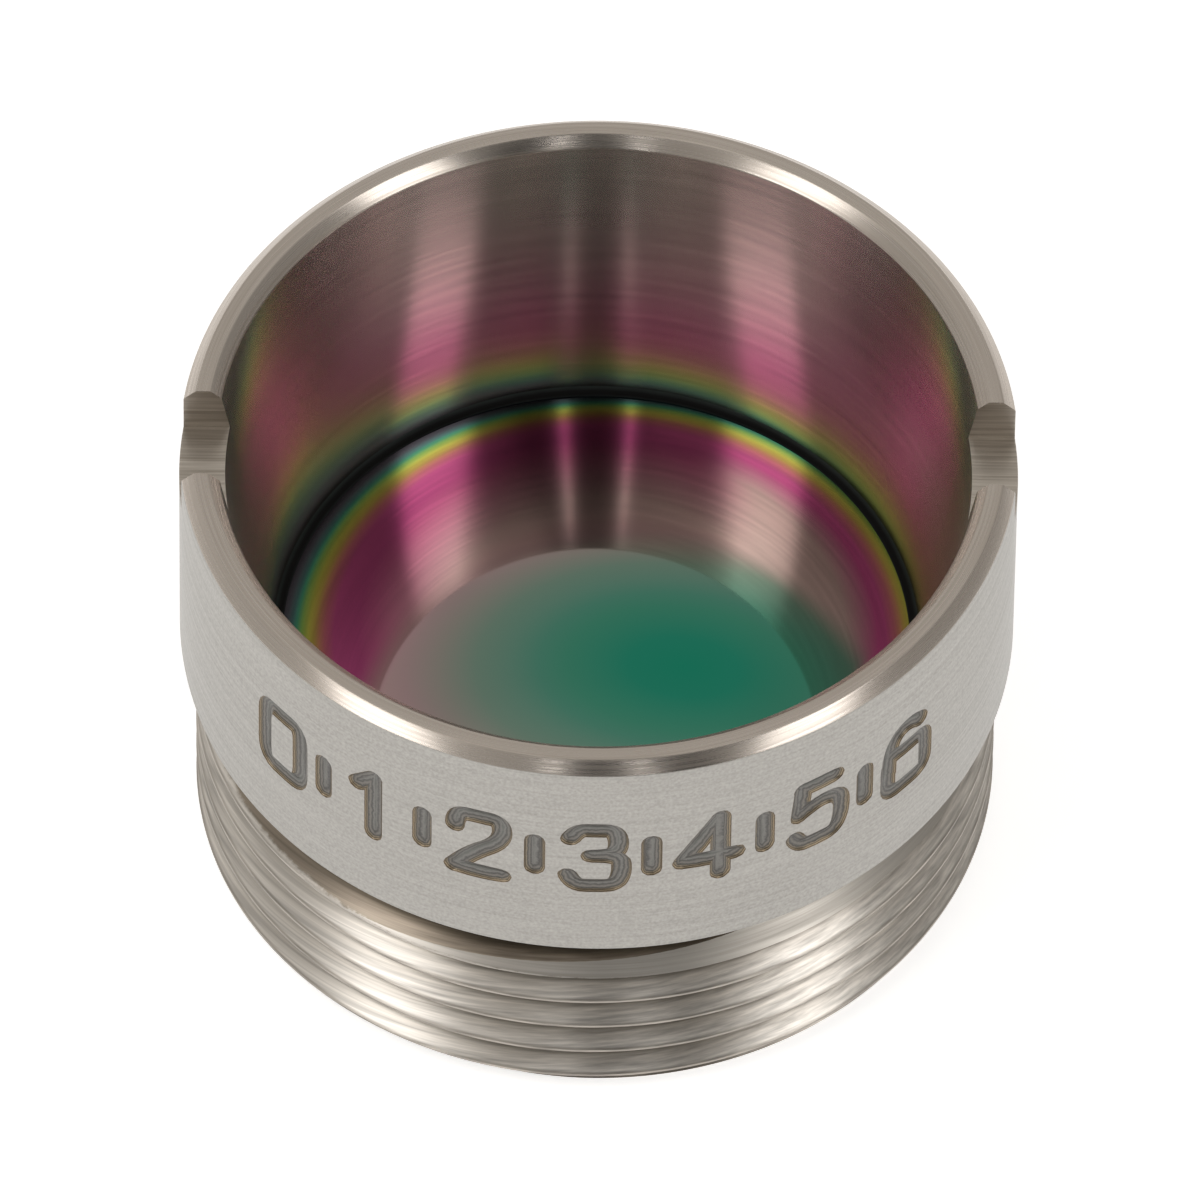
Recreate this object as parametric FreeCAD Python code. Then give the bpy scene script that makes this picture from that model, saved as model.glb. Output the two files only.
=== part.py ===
"""Mounted aspheric lens: a turned steel cell with a fine-thread end, an aspheric lens and its bond."""
import FreeCAD, Part
from FreeCAD import Vector
import math
import os

# All sizes are in millimetres. The optical axis is +Z, and the threaded end stands on Z = 0.

# Lens cell, outside
barrel_diameter = 10.4
barrel_length = 3.65
thread_diameter = 10.0
thread_length = 2.09
thread_end_chamfer = 0.22
relief_diameter = 9.2
relief_length = 0.44
shoulder_edge_break = 0.04

# Lens cell, rim
rim_outer_chamfer = 0.155
rim_inner_chamfer = 0.14
slot_width = 1.3
slot_depth = 0.7

# Lens cell, inside
bore_mouth_diameter = 9.46
seat_thickness = 0.93
clear_aperture = 6.6
aperture_edge_break = 0.15

# Lens
lens_diameter = 8.0
lens_edge_thickness = 1.8
lens_bevel = 0.08
front_radius = 8.6
front_conic = -4.5

# Fit of the lens in its pocket, and the adhesive that fills it
lens_radial_clearance = 0.03
bond_depth = 0.5
bond_rise = 0.05
bond_dip = 0.012

# Places that follow from the sizes
barrel_r = barrel_diameter / 2
thread_r = thread_diameter / 2
relief_r = relief_diameter / 2
mouth_r = bore_mouth_diameter / 2
aperture_r = clear_aperture / 2
lens_r = lens_diameter / 2
pocket_r = lens_r + lens_radial_clearance
lens_face_r = lens_r - lens_bevel

thread_top = thread_end_chamfer + thread_length
relief_bottom = thread_top + (thread_r - relief_r)
shoulder_z = relief_bottom + relief_length
rim_z = shoulder_z + barrel_length
bore_mouth_z = rim_z - rim_inner_chamfer
lens_edge_z = seat_thickness + lens_edge_thickness
bore_slope = (mouth_r - pocket_r) / (bore_mouth_z - lens_edge_z)


def at(radius, height):
    """A point of a half section, in the XZ plane."""
    return Vector(radius, 0, height)


def corners(points):
    """The straight edges through the points of a half section."""
    return [Part.makeLine(a, b) for a, b in zip(points, points[1:])]


def turn(edges):
    """The solid that a closed half section sweeps about the optical axis."""
    wire = Part.Wire(Part.__sortEdges__(edges))
    return Part.Face(wire).revolve(Vector(0, 0, 0), Vector(0, 0, 1), 360)


def front_sag(radius):
    """Depth of the aspheric face below its vertex, by the conic formula."""
    root = math.sqrt(1 - (1 + front_conic) * (radius / front_radius) ** 2)
    return radius ** 2 / (front_radius * (1 + root))


def lens_cell():
    """One turned piece: thread, relief groove, barrel, tapered bore and lens seat, then two slots."""
    outside = [
        at(thread_r - thread_end_chamfer, 0),
        at(thread_r, thread_end_chamfer),
        at(thread_r, thread_top),
        at(relief_r, relief_bottom),
        at(relief_r, shoulder_z),
        at(barrel_r - shoulder_edge_break, shoulder_z),
        at(barrel_r, shoulder_z + shoulder_edge_break),
        at(barrel_r, rim_z - rim_outer_chamfer),
        at(barrel_r - rim_outer_chamfer, rim_z),
    ]
    inside = [
        at(mouth_r + rim_inner_chamfer, rim_z),
        at(mouth_r, bore_mouth_z),
        at(pocket_r, lens_edge_z),
        at(pocket_r, seat_thickness),
        at(aperture_r, seat_thickness),
        at(aperture_r, aperture_edge_break),
        at(aperture_r + aperture_edge_break, 0),
    ]
    section = outside + inside
    body = turn(corners(section + section[:1]))
    return body.cut(spanner_slot_cutter())


def spanner_slot_cutter():
    """A bar across the rim, which leaves a slot for a spanner in each side."""
    reach = barrel_diameter
    bar = Part.makeBox(2 * reach, slot_width, 2 * slot_depth)
    bar.translate(Vector(-reach, -slot_width / 2, rim_z - slot_depth))
    return bar


def aspheric_lens():
    """Plano-convex lens with a conic front face, a ground edge and a small bevel at each end."""
    vertex_z = lens_edge_z + front_sag(lens_face_r)
    steps = 12
    radii = [lens_face_r * i / steps for i in range(steps + 1)]
    face = Part.BSplineCurve()
    face.interpolate([at(r, vertex_z - front_sag(r)) for r in radii])
    edge_and_back = corners([
        at(lens_face_r, lens_edge_z),
        at(lens_r, lens_edge_z - lens_bevel),
        at(lens_r, seat_thickness + lens_bevel),
        at(lens_face_r, seat_thickness),
        at(0, seat_thickness),
        at(0, vertex_z),
    ])
    return turn([face.toShape()] + edge_and_back)


def adhesive_bead():
    """Cured adhesive between the lens edge and its pocket, with a slightly hollow top."""
    on_lens = at(lens_face_r, lens_edge_z)
    on_bore = at(pocket_r + bore_slope * bond_rise, lens_edge_z + bond_rise)
    middle = (on_lens + on_bore) * 0.5 - at(0, bond_dip)
    meniscus = Part.Arc(on_bore, middle, on_lens).toShape()
    buried = corners([
        on_lens,
        at(lens_r, lens_edge_z - lens_bevel),
        at(lens_r, lens_edge_z - bond_depth),
        at(pocket_r, lens_edge_z - bond_depth),
        at(pocket_r, lens_edge_z),
        on_bore,
    ])
    return turn([meniscus] + buried)


nodes = {
    "lens_cell": lens_cell,
    "aspheric_lens": aspheric_lens,
    "adhesive_bead": adhesive_bead,
}

os.makedirs("parts", exist_ok=True)
for name, make in nodes.items():
    shape = make()
    shape.exportStep("parts/" + name + ".step")
    print(name, "volume", round(shape.Volume, 3), "valid", shape.isValid(), "solids", len(shape.Solids))
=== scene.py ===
"""Mounted aspheric lens: a threaded steel cell with an engraved scale, its coated lens and the bond."""
import math

import bpy
from mathutils import Matrix, Vector


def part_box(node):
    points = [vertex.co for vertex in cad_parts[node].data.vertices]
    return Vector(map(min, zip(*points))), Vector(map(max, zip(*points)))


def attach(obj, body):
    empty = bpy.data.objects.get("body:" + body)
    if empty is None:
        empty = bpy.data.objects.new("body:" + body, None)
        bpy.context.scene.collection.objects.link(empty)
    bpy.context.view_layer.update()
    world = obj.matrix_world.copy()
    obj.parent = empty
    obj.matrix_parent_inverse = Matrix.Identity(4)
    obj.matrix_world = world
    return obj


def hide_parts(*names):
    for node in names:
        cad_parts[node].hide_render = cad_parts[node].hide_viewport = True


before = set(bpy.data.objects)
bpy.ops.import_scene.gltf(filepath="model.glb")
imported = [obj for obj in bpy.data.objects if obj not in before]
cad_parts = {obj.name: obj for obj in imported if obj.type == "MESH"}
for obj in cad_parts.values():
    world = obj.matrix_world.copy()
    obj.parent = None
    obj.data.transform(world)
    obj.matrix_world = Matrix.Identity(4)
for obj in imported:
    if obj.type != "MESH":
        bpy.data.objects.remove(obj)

bl_info = {
    "name": "Mounted Aspheric Lens",
    "version": (1, 0, 0),
    "blender": (4, 5, 0),
    "location": "3D View > Sidebar > Lens",
    "description": "A threaded steel lens cell with a coated aspheric lens, and the stage that shows it",
    "category": "Add Mesh",
}

MM = 0.001
CELL_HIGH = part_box("lens_cell")[1]
LENS_LOW, LENS_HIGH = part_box("aspheric_lens")
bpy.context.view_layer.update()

# How finely round things are drawn
TURN_STEPS = 384
EASE_STEPS = 3
LENS_RINGS = 40
LENS_POLE = 0.01  # the innermost ring's share of the face
BALL_ANGLES = (22.5, 45, 67.5, 88)  # degrees, for the rings of a rounded end
CLEAN_UP = 1e-4 * MM
SMOOTH_BELOW = math.radians(25)

# The values of a noise texture lie mostly between these two
NOISE_LOW, NOISE_HIGH = 0.3, 0.7
# How fast the rings of the turned steel change on their way round
TURNED_DRIFT = 0.35
# A Mix node's sockets for colours
MIX_SHARE, MIX_UNDER, MIX_OVER, MIX_RESULT = 0, 6, 7, 2

# A metric thread's depth, as a share of its pitch
THREAD_DEPTH = 0.6134

# Lamps: name, azimuth and elevation in degrees, width and height in metres, brightness, and lean in degrees
LAMP_DISTANCE = 0.473
LAMPS = (
    ("left_softbox", -62.5, 46.8, 0.22, 0.78, 2.6, 23),
    ("right_softbox", 62, 46.8, 0.2, 0.78, 2.6, -22),
    ("left_strip", -10, 42, 0.012, 0.6, 5.0, 0),
    ("right_strip", 11.5, 42, 0.012, 0.6, 5.0, 0),
)
SENSOR_WIDTH = 36


def length(name, description, millimetres):
    """A size in metres that a user may change."""
    return bpy.props.FloatProperty(
        name=name, description=description, default=millimetres * MM, unit="LENGTH", precision=6)


def angle(name, description, degrees):
    """An angle in radians that a user may change."""
    return bpy.props.FloatProperty(
        name=name, description=description, default=math.radians(degrees), subtype="ANGLE")


def colour(name, description, code):
    """An sRGB colour, as a hex code, that a user may change."""
    return bpy.props.StringProperty(name=name, description=description, default=code)


class CellSizes(bpy.types.PropertyGroup):
    """Sizes of the turned steel cell."""
    barrel_radius: length("Barrel radius", "Outer radius of the plain barrel", CELL_HIGH.x / MM)
    rim_height: length("Rim height", "Height of the rim above the threaded end", CELL_HIGH.z / MM)
    barrel_length: length("Barrel length", "From the shoulder to the rim", 3.65)
    thread_radius: length("Thread radius", "Radius over the thread crests", 5.0)
    thread_top: length("Thread top", "Height where the thread runs into its relief", 2.31)
    thread_pitch: length("Thread pitch", "Rise of the thread in one turn", 0.5)
    thread_end_chamfer: length("Thread end chamfer", "Bevel at the threaded end", 0.22)
    relief_radius: length("Relief radius", "Radius of the groove between thread and barrel", 4.6)
    shoulder_edge_break: length("Shoulder edge", "Bevel at the barrel's lower edge", 0.04)
    rim_outer_chamfer: length("Outer rim chamfer", "Bevel outside the rim", 0.155)
    rim_inner_chamfer: length("Inner rim chamfer", "Bevel inside the rim", 0.14)
    mouth_radius: length("Mouth radius", "Radius of the tapered bore at the rim", 4.73)
    lens_clearance: length("Lens clearance", "Gap between lens and pocket", 0.03)
    aperture_radius: length("Aperture radius", "Radius of the opening behind the lens", 3.3)
    aperture_edge_break: length("Aperture edge", "Bevel at the opening's rear edge", 0.15)
    slot_width: length("Slot width", "Width of the spanner slots", 1.3)
    slot_depth: length("Slot depth", "Depth of the spanner slots", 0.7)
    edge_ease: length("Edge radius", "Small radius on turned edges", 0.018)
    digit_centre: length("Digit centre", "Depth of the digits' middle below the rim", 1.78)
    digit_start: angle("First digit", "Where the scale begins, left of the front", -48)
    digit_step: angle("Digit step", "From one sign of the scale to the next", 8)
    stroke_width: length("Stroke width", "Width of the engraved strokes", 0.28)
    engraving_depth: length("Engraving depth", "Depth of the engraved strokes", 0.065)


class LensSizes(bpy.types.PropertyGroup):
    """Sizes of the lens and of its bond."""
    radius: length("Lens radius", "Outer radius of the lens", LENS_HIGH.x / MM)
    seat_height: length("Seat height", "Height of the lens seat", LENS_LOW.z / MM)
    edge_thickness: length("Edge thickness", "Thickness at the edge of the lens", 1.8)
    bevel: length("Lens bevel", "Bevel at the lens edges", 0.08)
    front_radius: length("Front radius", "Radius of curvature at the vertex", 8.6)
    front_conic: bpy.props.FloatProperty(
        name="Front conic", description="Conic constant of the front", default=-4.5)
    bond_depth: length("Bond depth", "How far the adhesive runs down beside the lens", 0.5)
    bond_rise: length("Bond rise", "How far the adhesive climbs the bore", 0.05)


class Finishes(bpy.types.PropertyGroup):
    """Main colours of the steel and of the coating. Each steel runs between a pale and a deep tone."""
    barrel_pale: colour("Barrel, pale", "Satin steel of the barrel where it is palest", "#ABA8A3")
    barrel_deep: colour("Barrel, deep", "Satin steel of the barrel where it is deepest", "#A5A29D")
    turned_pale: colour("Turned steel, pale", "Bright rim and chamfers where they are palest", "#C8BFB6")
    turned_deep: colour("Turned steel, deep", "Bright rim and chamfers where they are deepest", "#B7ADA3")
    # The relief's tones are darker than the turned steel's, as painted shade under the barrel
    relief_pale: colour("Relief, pale", "Groove under the barrel where it is palest", "#B8B2AA")
    relief_deep: colour("Relief, deep", "Groove under the barrel where it is deepest", "#9D9890")
    slot_pale: colour("Slots, pale", "Milled lines of the spanner slots", "#CEC6BC")
    slot_deep: colour("Slots, deep", "Steel between the milled lines", "#A39A8F")
    coating_middle: colour("Coating, middle", "Coated lens where its green is deepest", "#21876D")
    bond: colour("Bond", "Black adhesive", "#020202")


class StageSizes(bpy.types.PropertyGroup):
    """Places of the camera and the floor."""
    view_elevation: angle("View elevation", "Camera height above the horizon", 51.43)
    view_roll: angle("View roll", "Turn of the picture", 0.83)
    view_distance: length("View distance", "From the camera to the rim's centre", 349)
    picture_width: length("Picture width", "Width of the picture at the rim's centre", 14.853)
    aim_depth: length("Aim depth", "Depth below the rim of the point in the picture's middle", 3.24)
    aim_side: length("Aim side", "That point's distance from the axis", 0.04)
    floor_width: length("Floor width", "Width of the white floor", 6000)


def to_linear(code):
    """Linear colour of an sRGB hex code such as #C8B090."""
    parts = [int(code[i:i + 2], 16) / 255 for i in (1, 3, 5)]
    return [p / 12.92 if p <= 0.04045 else ((p + 0.055) / 1.055) ** 2.4 for p in parts] + [1.0]


def add_node(tree, kind, settings=None, inputs=None, stops=None):
    """Adds a node with its settings, its inputs set or linked, and a ramp's stops if it has them."""
    node = tree.nodes.new(kind)
    for i, (place, shade) in enumerate(stops or []):
        stop = node.color_ramp.elements[i] if i < 2 else node.color_ramp.elements.new(place)
        stop.position = place
        stop.color = to_linear(shade)
    for name, value in (settings or {}).items():
        setattr(node, name, value)
    for name, value in (inputs or {}).items():
        if isinstance(value, bpy.types.NodeSocket):
            tree.links.new(value, node.inputs[name])
        else:
            node.inputs[name].default_value = value
    return node


def start_object(name):
    """Names the new active object and leaves only it selected, in edit mode."""
    made = bpy.context.object
    made.name = made.data.name = name
    bpy.ops.object.mode_set(mode="EDIT")
    bpy.ops.mesh.select_all(action="SELECT")
    return made


def activate(obj):
    """Leaves only this object selected and active."""
    bpy.ops.object.select_all(action="DESELECT")
    obj.select_set(True)
    bpy.context.view_layer.objects.active = obj


def eased(section, radius):
    """The (r, z) corners of a closed half section, each worn to a small curve that spares most of a side."""
    most = 0.3
    result = []
    for i, corner in enumerate(section):
        here = Vector(corner)
        before = Vector(section[i - 1]) - here
        after = Vector(section[(i + 1) % len(section)]) - here
        reach = min(radius, most * before.length, most * after.length)
        a = here + before.normalized() * reach
        b = here + after.normalized() * reach
        for k in range(EASE_STEPS + 1):
            t = k / EASE_STEPS
            result.append(tuple((1 - t) ** 2 * a + 2 * t * (1 - t) * here + t ** 2 * b))
    return result


def lathe(name, section, finishes=(), closed=True):
    """Turns a half section of (r, z) points about Z: a ring is drawn, then extruded from point to point."""
    bpy.ops.object.select_all(action="DESELECT")
    bpy.ops.mesh.primitive_circle_add(
        vertices=TURN_STEPS, radius=section[0][0], location=(0, 0, section[0][1]))
    bpy.ops.object.transform_apply(location=True, rotation=True, scale=True)
    made = start_object(name)
    for (r0, z0), (r1, z1) in zip(section, section[1:]):
        bpy.ops.mesh.extrude_region_move(TRANSFORM_OT_translate={"value": (0, 0, z1 - z0)})
        if r1 != r0:
            bpy.ops.transform.resize(value=(r1 / r0, r1 / r0, 1), center_override=(0, 0, z1))
    bpy.ops.mesh.select_all(action="DESELECT")
    bpy.ops.mesh.select_non_manifold()
    if closed:
        bpy.ops.mesh.bridge_edge_loops()
    else:
        bpy.ops.mesh.fill_holes(sides=0)
    bpy.ops.mesh.select_all(action="SELECT")
    bpy.ops.mesh.normals_make_consistent(inside=False)
    bpy.ops.object.mode_set(mode="OBJECT")
    for finish in finishes:
        made.data.materials.append(finish)
    return made


def cut(body, cutter):
    """Cuts the body with a closed cutter, which is then removed."""
    activate(body)
    modifier = body.modifiers.new("Cut", "BOOLEAN")
    modifier.operation = "DIFFERENCE"
    modifier.solver = "MANIFOLD"
    modifier.object = cutter
    modifier.material_mode = "TRANSFER"
    bpy.ops.object.modifier_apply(modifier=modifier.name)
    bpy.data.objects.remove(cutter)


def joined(pieces):
    """Joins the pieces into the first one."""
    activate(pieces[0])
    for piece in pieces:
        piece.select_set(True)
    bpy.ops.object.join()
    return pieces[0]


def finish_mesh(made):
    """Merges doubles and shades what is round smooth."""
    activate(made)
    bpy.ops.object.mode_set(mode="EDIT")
    bpy.ops.mesh.select_all(action="SELECT")
    bpy.ops.mesh.remove_doubles(threshold=CLEAN_UP)
    bpy.ops.mesh.dissolve_degenerate(threshold=CLEAN_UP)
    bpy.ops.object.mode_set(mode="OBJECT")
    bpy.ops.object.shade_smooth_by_angle(angle=SMOOTH_BELOW)


def paint_faces(made, slot, radii, heights):
    """Gives one of the object's materials to the faces whose middles lie between these radii and heights."""
    for face in made.data.polygons:
        x, y, z = face.center
        if radii[0] < math.hypot(x, y) < radii[1] and heights[0] < z < heights[1]:
            face.material_index = slot


def turned_coordinates(tree):
    """Sockets for the distance from the axis, the height, x, y and the place itself, all in millimetres."""
    found = add_node(tree, "ShaderNodeTexCoord").outputs["Object"]
    scaled = add_node(tree, "ShaderNodeVectorMath", {"operation": "SCALE"}, {0: found, "Scale": 1 / MM})
    place = scaled.outputs[0]
    x, y, height = add_node(tree, "ShaderNodeSeparateXYZ", {}, {0: place}).outputs
    flat = add_node(tree, "ShaderNodeCombineXYZ", {}, {0: x, 1: y})
    radius = add_node(tree, "ShaderNodeVectorMath", {"operation": "LENGTH"}, {0: flat.outputs[0]})
    return {"radius": radius.outputs["Value"], "height": height, "x": x, "y": y, "place": place}


def distance_from(tree, place, centre, stretch=1.0):
    """The distance in millimetres from an upright line through this centre, with X counted by the stretch."""
    off = add_node(tree, "ShaderNodeVectorMath", {"operation": "SUBTRACT"}, {0: place, 1: (*centre, 0)})
    oval = add_node(
        tree, "ShaderNodeVectorMath", {"operation": "MULTIPLY"}, {0: off.outputs[0], 1: (stretch, 1, 0)})
    away = add_node(tree, "ShaderNodeVectorMath", {"operation": "LENGTH"}, {0: oval.outputs[0]})
    return away.outputs["Value"]


def tool_marks(tree, at, feed, drift):
    """A value that runs in rings round the axis, one to each feed in millimetres, and drifts slowly round."""
    across = add_node(tree, "ShaderNodeCombineXYZ", {}, {0: at["radius"], 1: at["height"]})
    rings = add_node(
        tree, "ShaderNodeVectorMath", {"operation": "SCALE"}, {0: across.outputs[0], "Scale": 1 / feed})
    along = add_node(tree, "ShaderNodeCombineXYZ", {}, {0: at["x"], 1: at["y"]})
    slow = add_node(
        tree, "ShaderNodeVectorMath", {"operation": "SCALE"}, {0: along.outputs[0], "Scale": drift})
    both = add_node(
        tree, "ShaderNodeVectorMath", {"operation": "ADD"}, {0: rings.outputs[0], 1: slow.outputs[0]})
    noise = add_node(
        tree, "ShaderNodeTexNoise", {},
        {"Vector": both.outputs[0], "Scale": 1.0, "Detail": 3.0, "Roughness": 0.6})
    return noise.outputs[0]


def new_material(name):
    """An empty node material and its node tree."""
    made = bpy.data.materials.new(name)
    made.use_nodes = True
    made.node_tree.nodes.clear()
    return made, made.node_tree


def end_material(tree, inputs):
    """Gives the material its shader, with these inputs, and its output."""
    shader = add_node(tree, "ShaderNodeBsdfPrincipled", {}, inputs)
    add_node(tree, "ShaderNodeOutputMaterial", {}, {"Surface": shader.outputs[0]})


def drawn_out(tree, amount):
    """Shader inputs that draw a highlight out across the tool's rings, which run round the axis."""
    round_axis = add_node(tree, "ShaderNodeTangent", {"direction_type": "RADIAL", "axis": "Z"})
    return {"Anisotropic": amount, "Anisotropic Rotation": 0.25, "Tangent": round_axis.outputs[0]}


def steel(name, pale, deep, roughness, feed, mark_depth, grain=0.0, anisotropy=0.0):
    """Turned stainless steel: fine rings in two tones, of which the paler one is the smoother."""
    made, tree = new_material(name)
    at = turned_coordinates(tree)
    marks = tool_marks(tree, at, feed, TURNED_DRIFT)
    shade = add_node(
        tree, "ShaderNodeValToRGB", {}, {0: marks}, stops=[(NOISE_LOW, deep), (NOISE_HIGH, pale)]).outputs[0]
    bumps = marks
    if grain:
        # Fine pits of a blasted or brushed skin, drawn a little coarse so that they show
        speck = add_node(
            tree, "ShaderNodeTexNoise", {}, {"Vector": at["place"], "Scale": 1 / grain, "Detail": 2.0})
        mottle = add_node(
            tree, "ShaderNodeMapRange", {},
            {"Value": speck.outputs[0], "From Min": NOISE_LOW, "From Max": NOISE_HIGH,
             "To Min": 0.86, "To Max": 1.08})
        shade = add_node(
            tree, "ShaderNodeVectorMath", {"operation": "SCALE"},
            {0: shade, "Scale": mottle.outputs[0]}).outputs[0]
        bumps = add_node(
            tree, "ShaderNodeMath", {"operation": "ADD"}, {0: marks, 1: speck.outputs[0]}).outputs[0]
    bump = add_node(tree, "ShaderNodeBump", {}, {"Distance": mark_depth * MM, "Height": bumps})
    worn = add_node(
        tree, "ShaderNodeMapRange", {},
        {"Value": marks, "From Min": NOISE_LOW, "From Max": NOISE_HIGH,
         "To Min": roughness * 1.2, "To Max": roughness * 0.8})
    end_material(tree, {
        "Base Color": shade, "Metallic": 1.0, "Roughness": worn.outputs[0], "Normal": bump.outputs[0],
        **(drawn_out(tree, anisotropy) if anisotropy else {})})
    return made


def bore_steel(lens):
    """Steel bored smooth, so that it mirrors the coated lens and draws its colours out up the wall, with
    painted shade that darkens it down towards the bond.
    """
    made, tree = new_material("bored_steel")
    at = turned_coordinates(tree)
    marks = tool_marks(tree, at, feed=0.09, drift=0.5)
    # Painted shade: the steel is darkest, near black, beside the bond and palest at the mouth, one wall's
    # length in millimetres above it
    bond_top = (lens.seat_height + lens.edge_thickness) / MM
    wall_length = 4.0
    above = add_node(
        tree, "ShaderNodeMapRange", {},
        {"Value": at["height"], "From Min": bond_top, "From Max": bond_top + wall_length})
    bore_depth_shade = add_node(tree, "ShaderNodeValToRGB", {}, {0: above.outputs[0]}, stops=[
        (0.0, "#1C1C1C"), (1.0, "#DAD2CC"), (0.012, "#6E6A66"), (0.04, "#988E88"), (0.3, "#ABA09A")])
    shade = add_node(
        tree, "ShaderNodeMapRange", {},
        {"Value": marks, "From Min": NOISE_LOW, "From Max": NOISE_HIGH, "To Min": 0.86, "To Max": 1.1})
    mixed = add_node(
        tree, "ShaderNodeVectorMath", {"operation": "SCALE"},
        {0: bore_depth_shade.outputs[0], "Scale": shade.outputs[0]})
    bump = add_node(tree, "ShaderNodeBump", {}, {"Distance": 0.0006 * MM, "Height": marks})
    end_material(tree, {
        "Base Color": mixed.outputs[0], "Metallic": 1.0, "Roughness": 0.24, "Normal": bump.outputs[0],
        **drawn_out(tree, 0.9)})
    return made


def thread_steel(sizes):
    """Steel torn by a threading tool: painted shade makes it dark at the root and dull on the crests, and the
    flanks are bright.
    """
    made, tree = new_material("cut_thread_steel")
    at = turned_coordinates(tree)
    marks = tool_marks(tree, at, feed=0.06, drift=1.6)
    outer, upper = sizes.thread_radius / MM, sizes.thread_top / MM
    groove_depth, raggedness, burr_height = 0.3, 0.06, 0.1
    flank = add_node(
        tree, "ShaderNodeMapRange", {},
        {"Value": at["radius"], "From Min": outer - groove_depth, "From Max": outer})
    # Painted shade by radius: dark at the root, under the crest above, and dull again on the crests
    shade = add_node(tree, "ShaderNodeValToRGB", {}, {0: flank.outputs[0]}, stops=[
        (0.0, "#5C5852"), (1.0, "#B2ABA2"), (0.22, "#868077"), (0.42, "#C6BFB6"), (0.9, "#D6D0C8"),
        (0.97, "#B0A9A0")])
    # A ragged burr stands along the thread's upper end, its glint painted on as a pale line, and painted
    # shade makes the steel past it, under the barrel, a little darker
    torn = add_node(
        tree, "ShaderNodeTexNoise", {},
        {"Vector": at["place"], "Scale": 7.0, "Detail": 4.0, "Roughness": 0.7})
    edge = add_node(
        tree, "ShaderNodeMath", {"operation": "MULTIPLY_ADD"},
        {0: torn.outputs[0], 1: raggedness, 2: at["height"]})
    above = add_node(
        tree, "ShaderNodeMapRange", {},
        {"Value": edge.outputs[0], "From Min": upper, "From Max": upper + burr_height})
    painted_burr_glint = add_node(tree, "ShaderNodeValToRGB", {}, {0: above.outputs[0]}, stops=[
        (0.05, "#000000"), (1.0, "#000000"), (0.2, "#8C8C8C"), (0.35, "#8C8C8C"), (0.5, "#000000")])
    painted_relief_shade = add_node(tree, "ShaderNodeValToRGB", {}, {0: above.outputs[0]}, stops=[
        (0.3, "#FFFFFF"), (0.6, "#B8B0A6")])
    wear = add_node(
        tree, "ShaderNodeMapRange", {},
        {"Value": marks, "From Min": NOISE_LOW, "From Max": NOISE_HIGH, "To Min": 0.62, "To Max": 1.2})
    lined = add_node(
        tree, "ShaderNodeVectorMath", {"operation": "SCALE"},
        {0: shade.outputs[0], "Scale": wear.outputs[0]})
    tinted = add_node(
        tree, "ShaderNodeVectorMath", {"operation": "MULTIPLY"},
        {0: lined.outputs[0], 1: painted_relief_shade.outputs[0]})
    mixed = add_node(
        tree, "ShaderNodeMix", {"data_type": "RGBA"},
        {MIX_SHARE: painted_burr_glint.outputs[0], MIX_UNDER: tinted.outputs[0], MIX_OVER: to_linear("#F2ECE4")})
    bump = add_node(tree, "ShaderNodeBump", {}, {"Distance": 0.0024 * MM, "Height": marks})
    end_material(tree, {
        "Base Color": mixed.outputs[MIX_RESULT], "Metallic": 1.0, "Roughness": 0.38,
        "Normal": bump.outputs[0], **drawn_out(tree, 0.8)})
    return made


def milled_slot_steel(finishes):
    """Steel cut across by a small end mill, which leaves straight scratches along the slot."""
    made, tree = new_material("milled_slot_steel")
    at = turned_coordinates(tree)
    scratches_per_mm = 30.0
    stretch = add_node(
        tree, "ShaderNodeMapping", {},
        {"Vector": at["place"], "Scale": (0.5, scratches_per_mm, scratches_per_mm)})
    lines = add_node(
        tree, "ShaderNodeTexNoise", {}, {"Vector": stretch.outputs[0], "Scale": 1.0, "Detail": 4.0})
    shade = add_node(tree, "ShaderNodeValToRGB", {}, {0: lines.outputs[0]}, stops=[
        (NOISE_LOW, finishes.slot_deep), (NOISE_HIGH, finishes.slot_pale)])
    bump = add_node(tree, "ShaderNodeBump", {}, {"Distance": 0.003 * MM, "Height": lines.outputs[0]})
    end_material(tree, {
        "Base Color": shade.outputs[0], "Metallic": 1.0, "Roughness": 0.34, "Normal": bump.outputs[0]})
    return made


def marked_steel(sizes):
    """Steel oxidised by a marking laser: slate at the bottom of a stroke, straw at its cooler edge."""
    made, tree = new_material("laser_marked_steel")
    at = turned_coordinates(tree)
    burn = add_node(
        tree, "ShaderNodeTexNoise", {},
        {"Vector": at["place"], "Scale": 9.0, "Detail": 4.0, "Roughness": 0.7})
    # The beam goes round each stroke in passes, so the colours follow it in lines, at one depth each
    surface = sizes.barrel_radius / MM
    unevenness = 0.022
    wander = add_node(
        tree, "ShaderNodeMath", {"operation": "MULTIPLY_ADD"},
        {0: burn.outputs[0], 1: unevenness, 2: at["radius"]})
    depth = add_node(
        tree, "ShaderNodeMapRange", {},
        {"Value": wander.outputs[0], "From Min": surface + unevenness / 2, "From Max": surface - 0.054})
    shade = add_node(tree, "ShaderNodeValToRGB", {}, {0: depth.outputs[0]}, stops=[
        (0.0, "#94836F"), (1.0, "#6A6A66"), (0.1, "#463E34"), (0.22, "#A08F76"), (0.33, "#50493F"),
        (0.45, "#8A7F6E"), (0.56, "#504E4C"), (0.7, "#7C7872"), (0.82, "#565452"), (0.92, "#7C7A76")])
    bump = add_node(tree, "ShaderNodeBump", {}, {"Distance": 0.006 * MM, "Height": burn.outputs[0]})
    end_material(tree, {
        "Base Color": shade.outputs[0], "Metallic": 0.85, "Roughness": 0.42, "Normal": bump.outputs[0]})
    return made


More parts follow.
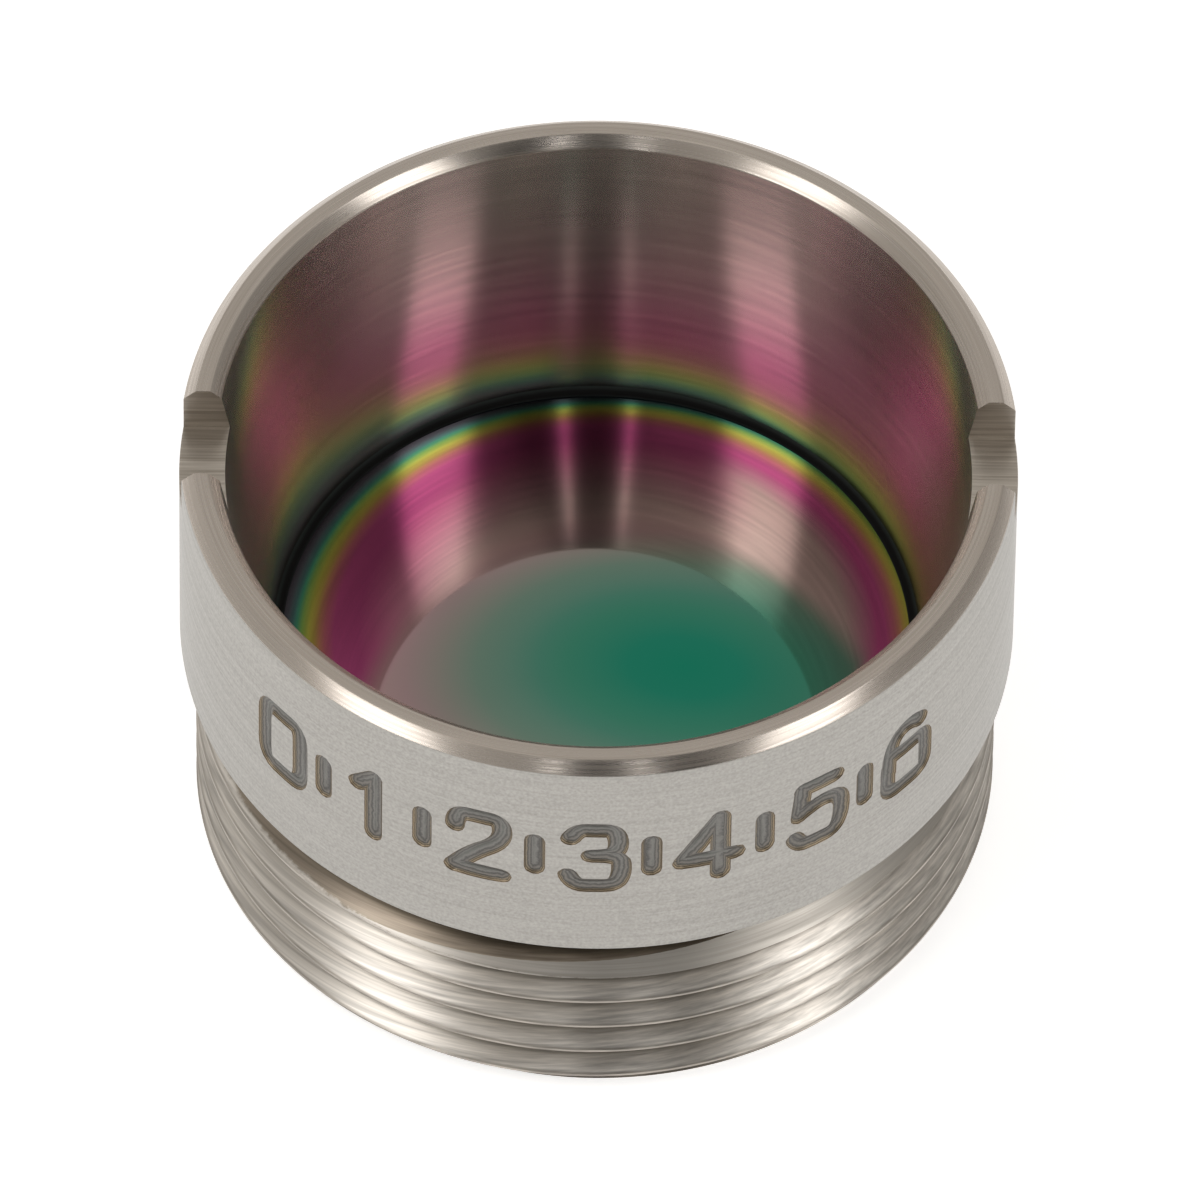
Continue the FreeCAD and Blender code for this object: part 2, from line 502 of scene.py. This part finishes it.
def coated_glass(finishes):
    """Infrared glass under a vacuum coating: opaque, mirror smooth, coloured by the coating's thickness."""
    made, tree = new_material("coated_infrared_glass")
    at = turned_coordinates(tree)
    place = at["place"]
    # The coating lies a little off centre, and thins out at the edge, where its colours crowd into rings
    out = distance_from(tree, place, (0.175, -0.15))
    edge = add_node(tree, "ShaderNodeMapRange", {}, {"Value": out, "From Min": 4.2, "From Max": 2.0})
    rings = add_node(tree, "ShaderNodeValToRGB", {}, {0: edge.outputs[0]}, stops=[
        (0.0, "#504E58"), (1.0, "#B49C9A"), (0.034, "#5F5C68"), (0.068, "#68707C"), (0.102, "#609494"),
        (0.125, "#5CC09A"), (0.155, "#A2DA74"), (0.195, "#D4DA66"), (0.227, "#D4C068"), (0.255, "#D69C7C"),
        (0.286, "#D07C8A"), (0.341, "#CC609C"), (0.41, "#C25A94"), (0.477, "#BA568E"), (0.568, "#BA628E"),
        (0.68, "#BC7894"), (0.82, "#B68A96")])
    # On the right the pink pales to a greyish brown before the green begins
    pale = add_node(
        tree, "ShaderNodeMapRange", {"interpolation_type": "SMOOTHSTEP"},
        {"Value": at["x"], "From Min": 1.1, "From Max": 2.1, "To Max": 0.9})
    inside = add_node(tree, "ShaderNodeMapRange", {}, {"Value": out, "From Min": 3.35, "From Max": 2.95})
    fade = add_node(
        tree, "ShaderNodeMath", {"operation": "MULTIPLY"}, {0: pale.outputs[0], 1: inside.outputs[0]})
    faded = add_node(
        tree, "ShaderNodeMix", {"data_type": "RGBA"},
        {MIX_SHARE: fade.outputs[0], MIX_UNDER: rings.outputs[0], MIX_OVER: to_linear("#B8A8A2")})
    # The middle is green where the coating is thickest, to the right and near the front, and greys around it
    away = distance_from(tree, place, (1.1, -0.9), stretch=0.62)
    thins = add_node(tree, "ShaderNodeMapRange", {}, {"Value": away, "From Max": 2.4})
    middle = add_node(tree, "ShaderNodeValToRGB", {}, {0: thins.outputs[0]}, stops=[
        (0.0, finishes.coating_middle), (1.0, "#AA8E8E"), (0.18, "#28876F"), (0.38, "#428972"),
        (0.47, "#4F8976"), (0.56, "#628A7A"), (0.67, "#718A7C"), (0.79, "#8D8982"), (0.9, "#A08889")])
    # The middle gives way to the rings, further out at the front than at the back
    slant = add_node(
        tree, "ShaderNodeVectorMath", {"operation": "DOT_PRODUCT"}, {0: place, 1: (-0.08, 0.75, 0)})
    reach = add_node(tree, "ShaderNodeMath", {"operation": "ADD"}, {0: slant.outputs["Value"], 1: out})
    blend = add_node(
        tree, "ShaderNodeMapRange", {"interpolation_type": "SMOOTHSTEP"},
        {"Value": reach.outputs[0], "From Min": 2.3, "From Max": 2.9})
    rim = add_node(
        tree, "ShaderNodeMapRange", {"interpolation_type": "SMOOTHSTEP"},
        {"Value": out, "From Min": 3.0, "From Max": 3.3})
    share = add_node(
        tree, "ShaderNodeMath", {"operation": "MAXIMUM"}, {0: blend.outputs[0], 1: rim.outputs[0]})
    mixed = add_node(
        tree, "ShaderNodeMix", {"data_type": "RGBA"},
        {MIX_SHARE: share.outputs[0], MIX_UNDER: middle.outputs[0], MIX_OVER: faded.outputs[MIX_RESULT]})
    end_material(tree, {"Base Color": mixed.outputs[MIX_RESULT], "Metallic": 1.0, "Roughness": 0.05})
    return made


def lens_bond(finishes, lens):
    """Black epoxy wicked into the gap beside the lens: nearly black, with a faint and soft highlight."""
    made, tree = new_material("black_epoxy")
    at = turned_coordinates(tree)
    flow = add_node(tree, "ShaderNodeTexNoise", {}, {"Vector": at["place"], "Scale": 3.0, "Detail": 2.0})
    wavy = add_node(
        tree, "ShaderNodeMath", {"operation": "MULTIPLY_ADD"}, {0: flow.outputs[0], 1: 0.02, 2: at["radius"]})
    inner, width = (lens.radius - lens.bevel) / MM, 0.14
    across = add_node(
        tree, "ShaderNodeMapRange", {},
        {"Value": wavy.outputs[0], "From Min": inner, "From Max": inner + width})
    # The coating's haze lies on both edges and leaves a fine black line between them
    shade = add_node(tree, "ShaderNodeValToRGB", {}, {0: across.outputs[0]}, stops=[
        (0.0, "#1A2020"), (1.0, "#282E2C"), (0.25, "#080808"), (0.35, finishes.bond), (0.6, finishes.bond)])
    end_material(tree, {"Base Color": shade.outputs[0], "Roughness": 0.5, "Specular IOR Level": 0.1})
    return made


def white_paper():
    """Matt white paper that the camera and the mirrors see as white, and that keeps the object's shadow."""
    made, tree = new_material("white_paper")
    path = add_node(tree, "ShaderNodeLightPath")
    seen = add_node(
        tree, "ShaderNodeMath", {"operation": "MAXIMUM"},
        {0: path.outputs["Is Camera Ray"], 1: path.outputs["Is Glossy Ray"]})
    # The rest of the white comes from the light that falls on the paper
    own_share = 0.55
    glow = add_node(tree, "ShaderNodeMath", {"operation": "MULTIPLY"}, {0: seen.outputs[0], 1: own_share})
    end_material(tree, {
        "Base Color": to_linear("#F4F4F4"), "Roughness": 0.9, "Emission Color": (1, 1, 1, 1),
        "Emission Strength": glow.outputs[0]})
    return made


def thread_cutter(sizes, finish):
    """The helical groove between the thread's turns, with lips that round the crests over."""
    half = sizes.thread_pitch / 2
    # Half the groove's floor, and the radius of the crests' edges
    flat, ease = 0.03 * MM, 0.013 * MM
    root = sizes.thread_radius - THREAD_DEPTH * sizes.thread_pitch + 0.01 * MM
    crest = sizes.thread_radius
    outside = crest + 0.12 * MM
    mouth = half - 0.05 * sizes.thread_pitch
    # The groove begins below the end face, so that it runs out of it
    start = -0.57 * sizes.thread_pitch
    bpy.ops.object.select_all(action="DESELECT")
    outline = [
        (root, -flat), (root, flat), (crest - ease, mouth - ease * 0.7), (crest, mouth + ease * 0.6),
        (outside, mouth + ease * 1.6), (outside, -mouth - ease * 1.6),
        (crest, -mouth - ease * 0.6), (crest - ease, -mouth + ease * 0.7)]
    bpy.ops.mesh.primitive_circle_add(vertices=len(outline), radius=half, fill_type="NOTHING")
    cutter = start_object("thread_cutter")
    bpy.ops.object.mode_set(mode="OBJECT")
    for vertex, (r, z) in zip(cutter.data.vertices, outline):
        vertex.co = (r, 0, z + start)
    turns = math.ceil((sizes.thread_top + half - start) / sizes.thread_pitch)
    screw = cutter.modifiers.new("Screw", "SCREW")
    screw.axis = "Z"
    screw.screw_offset = sizes.thread_pitch
    screw.iterations = turns
    screw.steps = screw.render_steps = TURN_STEPS // 2
    screw.use_merge_vertices = False
    bpy.ops.object.modifier_apply(modifier=screw.name)
    bpy.ops.object.mode_set(mode="EDIT")
    bpy.ops.mesh.select_all(action="SELECT")
    bpy.ops.mesh.remove_doubles(threshold=CLEAN_UP)
    bpy.ops.mesh.select_all(action="DESELECT")
    bpy.ops.mesh.select_non_manifold()
    bpy.ops.mesh.fill_holes(sides=0)
    bpy.ops.mesh.select_all(action="SELECT")
    bpy.ops.mesh.normals_make_consistent(inside=False)
    bpy.ops.object.mode_set(mode="OBJECT")
    cutter.data.materials.append(finish)
    return cutter


def slot_cutter(sizes, finish):
    """A bar right across the rim that cuts both spanner slots at once."""
    bpy.ops.object.select_all(action="DESELECT")
    bpy.ops.mesh.primitive_cube_add(size=1, location=(0, 0, sizes.rim_height))
    bpy.ops.transform.resize(value=(2.2 * sizes.barrel_radius, sizes.slot_width, 2 * sizes.slot_depth))
    cutter = start_object("slot_cutter")
    bpy.ops.object.mode_set(mode="OBJECT")
    bpy.ops.object.transform_apply(location=True, rotation=True, scale=True)
    cutter.data.materials.append(finish)
    return cutter


def stroke_cutter(sizes, points, azimuth, depth, finish):
    """A round-ended rod bent along one stroke of a sign, sunk so that it cuts a shallow channel."""
    half = sizes.stroke_width / 2
    rod = (half ** 2 + depth ** 2) / (2 * depth)
    axis_radius = sizes.barrel_radius - depth + rod
    closed = points[0] == points[-1]
    bpy.ops.object.select_all(action="DESELECT")
    bpy.ops.curve.primitive_nurbs_path_add()
    stroke = bpy.context.object
    stroke.data.splines.clear()
    spline = stroke.data.splines.new("NURBS")
    corners = points[:-1] if closed else points
    spline.points.add(len(corners) - 1)
    for point, (across, up) in zip(spline.points, corners):
        turn = azimuth + across * MM / sizes.barrel_radius
        point.co = (
            axis_radius * math.sin(turn), -axis_radius * math.cos(turn),
            sizes.rim_height - sizes.digit_centre + up * MM, 1)
    spline.order_u = 3
    spline.use_cyclic_u = closed
    spline.use_endpoint_u = not closed
    spline.resolution_u = 5
    line = bpy.data.meshes.new_from_object(stroke)
    path = [(v.co.copy(), 1.0) for v in line.vertices]
    if not closed:
        # Each end runs on as half a ball
        for end, before in ((0, 1), (-1, -2)):
            tip = path[end][0]
            ahead = (tip - path[before][0]).normalized()
            ball = [
                (tip + ahead * rod * math.sin(math.radians(a)), math.cos(math.radians(a)))
                for a in BALL_ANGLES]
            path = ball[::-1] + path if end == 0 else path + ball
    stroke.data.splines.clear()
    spline = stroke.data.splines.new("POLY")
    spline.points.add(len(path) - 1)
    for point, (place, radius) in zip(spline.points, path):
        point.co = (*place, 1)
        point.radius = radius
    spline.use_cyclic_u = closed
    stroke.data.bevel_depth = rod
    stroke.data.bevel_resolution = 4
    stroke.data.use_fill_caps = not closed
    bpy.ops.object.convert(target="MESH")
    made = start_object("stroke_cutter")
    bpy.ops.mesh.remove_doubles(threshold=CLEAN_UP)
    bpy.ops.mesh.normals_make_consistent(inside=False)
    bpy.ops.object.mode_set(mode="OBJECT")
    made.data.materials.clear()
    made.data.materials.append(finish)
    return made


# The generic scale on the barrel, from left to right, where a bar is a short tick
SCALE = "0|1|2|3|4|5|6"
# The strokes of its signs: the corners of each, in millimetres from the sign's middle
DIGITS = {
    "0": [[(0, .55), (-.33, .55), (-.33, 0), (-.33, -.55), (0, -.55), (.33, -.55), (.33, 0), (.33, .55),
           (0, .55)]],
    "1": [[(.04, .54), (.04, -.54)], [(-.2, .3), (.04, .54)]],
    "2": [[(-.29, .28), (-.28, .54), (.02, .55), (.32, .54), (.32, .12), (-.1, -.22), (-.3, -.54)],
          [(-.3, -.54), (.31, -.54)]],
    "3": [[(-.28, .38), (-.2, .55), (.02, .55), (.3, .54), (.32, .1), (.1, .04), (-.02, .04)],
          [(-.02, .04), (.34, .06), (.36, -.3), (.28, -.55), (0, -.55), (-.24, -.55), (-.31, -.36)]],
    "4": [[(.14, .54), (.14, -.54)], [(.14, .54), (-.34, -.22)], [(-.34, -.22), (.34, -.22)]],
    "5": [[(.26, .54), (-.2, .54)], [(-.2, .54), (-.25, .04)],
          [(-.25, .04), (0, .2), (.36, .14), (.36, -.3), (.26, -.55), (0, -.55), (-.24, -.55), (-.31, -.38)]],
    "6": [[(.24, .46), (.1, .58), (-.2, .52), (-.33, .2), (-.33, -.2)],
          [(0, .14), (.34, .14), (.34, -.2), (.34, -.55), (0, -.55), (-.34, -.55), (-.34, -.2), (-.34, .14),
           (0, .14)]],
    "|": [[(0, .26), (0, -.26)]],
}


class BuildCell(bpy.types.Operator):
    """Builds the turned steel cell with its thread, spanner slots and engraved scale"""
    bl_idname = "mounted_lens.build_cell"
    bl_label = "Build Lens Cell"

    def execute(self, context):
        sizes = context.scene.cell_sizes
        lens = context.scene.lens_sizes
        finishes = context.scene.finishes
        shoulder = sizes.rim_height - sizes.barrel_length
        lead = sizes.thread_radius - sizes.relief_radius
        pocket = lens.radius + sizes.lens_clearance
        lens_edge = lens.seat_height + lens.edge_thickness
        barrel_top = sizes.rim_height - sizes.rim_outer_chamfer
        bore_top = sizes.rim_height - sizes.rim_inner_chamfer
        section = [
            (pocket, lens.seat_height),
            (sizes.aperture_radius, lens.seat_height),
            (sizes.aperture_radius, sizes.aperture_edge_break),
            (sizes.aperture_radius + sizes.aperture_edge_break, 0),
            (sizes.thread_radius - sizes.thread_end_chamfer, 0),
            (sizes.thread_radius, sizes.thread_end_chamfer),
            (sizes.thread_radius, sizes.thread_top),
            (sizes.relief_radius, sizes.thread_top + lead),
            (sizes.relief_radius, shoulder),
            (sizes.barrel_radius - sizes.shoulder_edge_break, shoulder),
            (sizes.barrel_radius, shoulder + sizes.shoulder_edge_break),
            (sizes.barrel_radius, barrel_top),
            (sizes.barrel_radius - sizes.rim_outer_chamfer, sizes.rim_height),
            (sizes.mouth_radius + sizes.rim_inner_chamfer, sizes.rim_height),
            (sizes.mouth_radius, bore_top),
            (pocket, lens_edge),
        ]
        steels = {
            "barrel": steel(
                "satin_barrel_steel", finishes.barrel_pale, finishes.barrel_deep,
                roughness=0.42, feed=0.05, mark_depth=0.0, grain=0.04),
            "turned": steel(
                "turned_steel", finishes.turned_pale, finishes.turned_deep,
                roughness=0.28, feed=0.03, mark_depth=0.0006, anisotropy=0.8),
            "bore": bore_steel(lens),
            "slots": milled_slot_steel(finishes),
            "digits": marked_steel(sizes),
            "thread": thread_steel(sizes),
            # Painted shade: the groove under the barrel gets a darker copy of the turned steel
            "relief": steel(
                "shaded_relief_steel", finishes.relief_pale, finishes.relief_deep,
                roughness=0.36, feed=0.05, mark_depth=0.0008),
        }
        cell = lathe("turned_lens_cell", eased(section, sizes.edge_ease), steels.values())
        # Each finish, with the radii and the heights between which it lies
        slack = 0.01 * MM
        relief_low, relief_high = sizes.thread_top + slack, shoulder + slack
        for finish, radii, heights in (
                ("turned", (0, math.inf), (-math.inf, math.inf)),
                ("barrel", (sizes.barrel_radius - 2 * slack, math.inf), (-math.inf, barrel_top)),
                ("bore", (0, sizes.mouth_radius), (lens.seat_height + 2 * slack, bore_top)),
                ("thread", (sizes.thread_radius - 3 * slack, math.inf), (-math.inf, relief_low)),
                ("relief", (sizes.relief_radius - slack, math.inf), (relief_low, relief_high))):
            paint_faces(cell, list(steels).index(finish), radii, heights)
        cut(cell, thread_cutter(sizes, steels["thread"]))
        cut(cell, slot_cutter(sizes, steels["slots"]))
        # Strokes that meet are cut one after another, each a little shallower than the one before
        shallower = 0.06
        for turn in range(max(len(strokes) for strokes in DIGITS.values())):
            depth = sizes.engraving_depth * (1 - shallower * turn)
            cutters = []
            for i, sign in enumerate(SCALE):
                if turn < len(DIGITS[sign]):
                    azimuth = sizes.digit_start + sizes.digit_step * i
                    cutters.append(stroke_cutter(sizes, DIGITS[sign][turn], azimuth, depth, steels["digits"]))
            cut(cell, joined(cutters))
        finish_mesh(cell)
        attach(cell, "root")
        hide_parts("lens_cell")
        return {"FINISHED"}


class BuildLens(bpy.types.Operator):
    """Builds the coated aspheric lens"""
    bl_idname = "mounted_lens.build_lens"
    bl_label = "Build Aspheric Lens"

    def execute(self, context):
        lens = context.scene.lens_sizes
        face = lens.radius - lens.bevel
        top = lens.seat_height + lens.edge_thickness

        def sag(r):
            """How far the aspheric face has fallen at this radius: the conic formula."""
            share = 1 - (1 + lens.front_conic) * (r / lens.front_radius) ** 2
            return r * r / (lens.front_radius * (1 + math.sqrt(share)))

        section = []
        for i in range(LENS_RINGS + 1):
            r = face * (LENS_POLE + (1 - LENS_POLE) * i / LENS_RINGS)
            section.append((r, top + sag(face) - sag(r)))
        section += [
            (lens.radius, top - lens.bevel),
            (lens.radius, lens.seat_height + lens.bevel),
            (face, lens.seat_height),
            (face * LENS_POLE, lens.seat_height)]
        glass = coated_glass(context.scene.finishes)
        made = lathe("coated_aspheric_lens", section, (glass,), closed=False)
        finish_mesh(made)
        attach(made, "root")
        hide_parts("aspheric_lens")
        return {"FINISHED"}


class BuildBond(bpy.types.Operator):
    """Builds the ring of adhesive round the lens"""
    bl_idname = "mounted_lens.build_bond"
    bl_label = "Build Lens Bond"

    def execute(self, context):
        sizes = context.scene.cell_sizes
        lens = context.scene.lens_sizes
        top = lens.seat_height + lens.edge_thickness
        face = lens.radius - lens.bevel
        pocket = lens.radius + sizes.lens_clearance
        rise = lens.bond_rise
        taper = (sizes.mouth_radius - pocket) / (sizes.rim_height - sizes.rim_inner_chamfer - top)
        wall = pocket + rise * taper
        # The adhesive's top hollows down from the wall to the lens
        section = [
            (pocket, top - lens.bond_depth), (pocket, top), (wall, top + rise),
            (0.3 * face + 0.7 * wall, top + 0.45 * rise), (0.7 * face + 0.3 * wall, top + 0.1 * rise),
            (face, top), (lens.radius, top - lens.bevel), (lens.radius, top - lens.bond_depth)]
        made = lathe("black_bond_ring", section, (lens_bond(context.scene.finishes, lens),))
        finish_mesh(made)
        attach(made, "root")
        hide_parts("adhesive_bead")
        return {"FINISHED"}


def softbox(name, azimuth, elevation, width, height, brightness, lean):
    """An upright rectangular lamp that faces the cell and may lean, as bright as its reflection shows."""
    a = math.radians(azimuth)
    facing = Vector((math.sin(a), -math.cos(a), 0))
    up = Vector((0, 0, math.tan(math.radians(elevation))))
    bpy.ops.object.light_add(type="AREA", location=(facing + up) * LAMP_DISTANCE)
    lamp = bpy.context.object
    lamp.name = lamp.data.name = name
    turned = facing.to_track_quat("Z", "Y").to_matrix() @ Matrix.Rotation(math.radians(lean), 3, "Z")
    lamp.rotation_euler = turned.to_euler()
    lamp.data.shape = "RECTANGLE"
    lamp.data.size = width
    lamp.data.size_y = height
    lamp.data.energy = brightness * math.pi * width * height


def room_strength(tree):
    """How bright metal sees the room each way: pale all round, with a dark gap where the camera stands."""
    look = add_node(tree, "ShaderNodeTexCoord")
    east, north, high = add_node(tree, "ShaderNodeSeparateXYZ", {}, {0: look.outputs["Generated"]}).outputs
    ahead = add_node(tree, "ShaderNodeMath", {"operation": "MULTIPLY"}, {0: north, 1: -1.0})
    angle_round = add_node(tree, "ShaderNodeMath", {"operation": "ARCTAN2"}, {0: east, 1: ahead.outputs[0]})
    turn = angle_round.outputs[0]
    # The gap lies a little right of the front. It is widest low down, and greyer above the camera
    gap_middle = 0.13
    centred = add_node(tree, "ShaderNodeMath", {"operation": "SUBTRACT"}, {0: turn, 1: gap_middle})
    aside = add_node(tree, "ShaderNodeMath", {"operation": "ABSOLUTE"}, {0: centred.outputs[0]})
    wider = add_node(
        tree, "ShaderNodeMapRange", {},
        {"Value": high, "From Min": 0.55, "From Max": 0.9, "To Min": 0.1, "To Max": 0.0})
    inset = add_node(
        tree, "ShaderNodeMath", {"operation": "SUBTRACT"}, {0: aside.outputs[0], 1: wider.outputs[0]})
    in_gap = add_node(
        tree, "ShaderNodeMapRange", {},
        {"Value": high, "From Min": 0.75, "From Max": 0.95, "To Min": 0.02, "To Max": 0.3})
    # The room is brighter on the left, and its front half also towards the ceiling
    sides = add_node(
        tree, "ShaderNodeMapRange", {},
        {"Value": east, "From Min": -0.6, "From Max": 0.9, "To Min": 0.5, "To Max": 0.34})
    ceiling = add_node(
        tree, "ShaderNodeMapRange", {},
        {"Value": high, "From Min": 0.8, "From Max": 0.92, "To Min": 1.0, "To Max": 1.9})
    lofty = add_node(
        tree, "ShaderNodeMath", {"operation": "MULTIPLY"}, {0: sides.outputs[0], 1: ceiling.outputs[0]})
    rear = add_node(
        tree, "ShaderNodeMapRange", {},
        {"Value": east, "From Min": 0.3, "From Max": 0.9, "To Min": 0.64, "To Max": 0.36})
    walls = add_node(
        tree, "ShaderNodeMapRange", {},
        {"Value": north, "From Min": -0.3, "From Max": 0.4,
         "To Min": lofty.outputs[0], "To Max": rear.outputs[0]})
    # The camera's arm dims a low band of the front, most of it on the right
    band = add_node(tree, "ShaderNodeValToRGB", {}, {0: high}, stops=[
        (0.58, "#FFFFFF"), (0.86, "#FFFFFF"), (0.65, "#A0A0A0"), (0.78, "#A0A0A0")])
    begins = add_node(tree, "ShaderNodeMapRange", {}, {"Value": turn, "From Min": -0.6, "From Max": 0.1})
    ends = add_node(
        tree, "ShaderNodeMapRange", {},
        {"Value": turn, "From Min": 0.85, "From Max": 1.2, "To Min": 1.0, "To Max": 0.0})
    arm = add_node(
        tree, "ShaderNodeMath", {"operation": "MULTIPLY"}, {0: begins.outputs[0], 1: ends.outputs[0]})
    shaded = add_node(
        tree, "ShaderNodeMix", {"data_type": "RGBA"},
        {MIX_SHARE: arm.outputs[0], MIX_UNDER: (1, 1, 1, 1), MIX_OVER: band.outputs[0]})
    level = add_node(
        tree, "ShaderNodeMath", {"operation": "MULTIPLY"},
        {0: walls.outputs[0], 1: shaded.outputs[MIX_RESULT]})
    gap = add_node(
        tree, "ShaderNodeMapRange", {"interpolation_type": "SMOOTHSTEP"},
        {"Value": inset.outputs[0], "From Min": 0.18, "From Max": 0.4,
         "To Min": in_gap.outputs[0], "To Max": level.outputs[0]})
    return gap.outputs[0]


class BuildStage(bpy.types.Operator):
    """Builds the floor, the studio light and the camera"""
    bl_idname = "mounted_lens.build_stage"
    bl_label = "Build Stage"

    def execute(self, context):
        stage = context.scene.stage_sizes
        cell = context.scene.cell_sizes
        bpy.ops.object.select_all(action="DESELECT")
        bpy.ops.mesh.primitive_grid_add(x_subdivisions=8, y_subdivisions=8, size=stage.floor_width)
        floor = bpy.context.object
        floor.name = floor.data.name = "white_floor"
        floor.data.materials.append(white_paper())

        # The camera sees plain white behind the object, and everything else sees the room
        world = bpy.data.worlds.new("studio")
        context.scene.world = world
        world.use_nodes = True
        tree = world.node_tree
        tree.nodes.clear()
        room = add_node(
            tree, "ShaderNodeBackground", {},
            {"Color": to_linear("#F8F5F0"), "Strength": room_strength(tree)})
        white = add_node(tree, "ShaderNodeBackground", {}, {"Color": (1, 1, 1, 1), "Strength": 1.0})
        path = add_node(tree, "ShaderNodeLightPath")
        both = add_node(
            tree, "ShaderNodeMixShader", {},
            {0: path.outputs["Is Camera Ray"], 1: room.outputs[0], 2: white.outputs[0]})
        add_node(tree, "ShaderNodeOutputWorld", {}, {"Surface": both.outputs[0]})
        for lamp in LAMPS:
            softbox(*lamp)

        rise = stage.view_elevation
        rim = Vector((0, 0, cell.rim_height))
        aim = Vector((stage.aim_side, 0, cell.rim_height - stage.aim_depth))
        place = rim + Vector((0, -math.cos(rise), math.sin(rise))) * stage.view_distance
        look = (place - aim).to_track_quat("Z", "Y").to_matrix() @ Matrix.Rotation(stage.view_roll, 3, "Z")
        bpy.ops.object.camera_add(location=place)
        camera = bpy.context.object
        camera.name = camera.data.name = "photo_camera"
        camera.rotation_euler = look.to_euler()
        camera.data.sensor_width = SENSOR_WIDTH
        camera.data.lens = SENSOR_WIDTH * stage.view_distance / stage.picture_width
        camera.data.clip_start = 0.01
        camera.data.clip_end = 10
        context.scene.camera = camera
        context.scene.view_settings.view_transform = "Standard"
        return {"FINISHED"}


class LensPanel(bpy.types.Panel):
    """Lists what the script builds and the sizes that it reads"""
    bl_idname = "VIEW3D_PT_mounted_lens"
    bl_label = "Mounted Lens"
    bl_space_type = "VIEW_3D"
    bl_region_type = "UI"
    bl_category = "Lens"

    def draw(self, context):
        scene = context.scene
        for group in (scene.cell_sizes, scene.lens_sizes, scene.finishes, scene.stage_sizes):
            for name in group.__annotations__:
                self.layout.prop(group, name)
        for operator in (BuildCell, BuildLens, BuildBond, BuildStage):
            self.layout.operator(operator.bl_idname)


CLASSES = (CellSizes, LensSizes, Finishes, StageSizes, BuildCell, BuildLens, BuildBond, BuildStage, LensPanel)


def register():
    for made in CLASSES:
        bpy.utils.register_class(made)
    bpy.types.Scene.cell_sizes = bpy.props.PointerProperty(type=CellSizes)
    bpy.types.Scene.lens_sizes = bpy.props.PointerProperty(type=LensSizes)
    bpy.types.Scene.finishes = bpy.props.PointerProperty(type=Finishes)
    bpy.types.Scene.stage_sizes = bpy.props.PointerProperty(type=StageSizes)


def unregister():
    del bpy.types.Scene.stage_sizes
    del bpy.types.Scene.finishes
    del bpy.types.Scene.lens_sizes
    del bpy.types.Scene.cell_sizes
    for made in reversed(CLASSES):
        bpy.utils.unregister_class(made)


def main():
    register()
    bpy.ops.mounted_lens.build_cell()
    bpy.ops.mounted_lens.build_lens()
    bpy.ops.mounted_lens.build_bond()
    bpy.ops.mounted_lens.build_stage()


if __name__ == "__main__":
    main()
